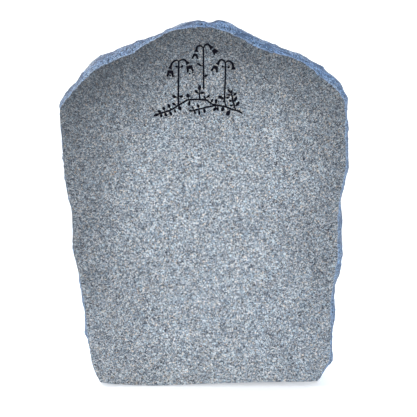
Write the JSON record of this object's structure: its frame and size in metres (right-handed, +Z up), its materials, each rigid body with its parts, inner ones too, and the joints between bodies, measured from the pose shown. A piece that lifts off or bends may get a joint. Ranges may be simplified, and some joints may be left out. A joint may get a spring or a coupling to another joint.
{
  "type": "headstone",
  "caption": "Upright rough-edged granite slab headstone with a flat dressed face and a shallow carved sprig of nodding bell flowers near the top.",
  "frame": {"origin": "on the ground, at the middle of the slab's width and thickness", "axes": "+Z up along the height, +X to the right of someone facing the dressed side, +Y from the dressed face to the back"},
  "size_m": [0.63, 0.13, 0.8],
  "materials": {
    "granite": "dressed, matt"
  },
  "bodies": {
    "root": {"headstone": "granite"}
  },
  "joints": []
}
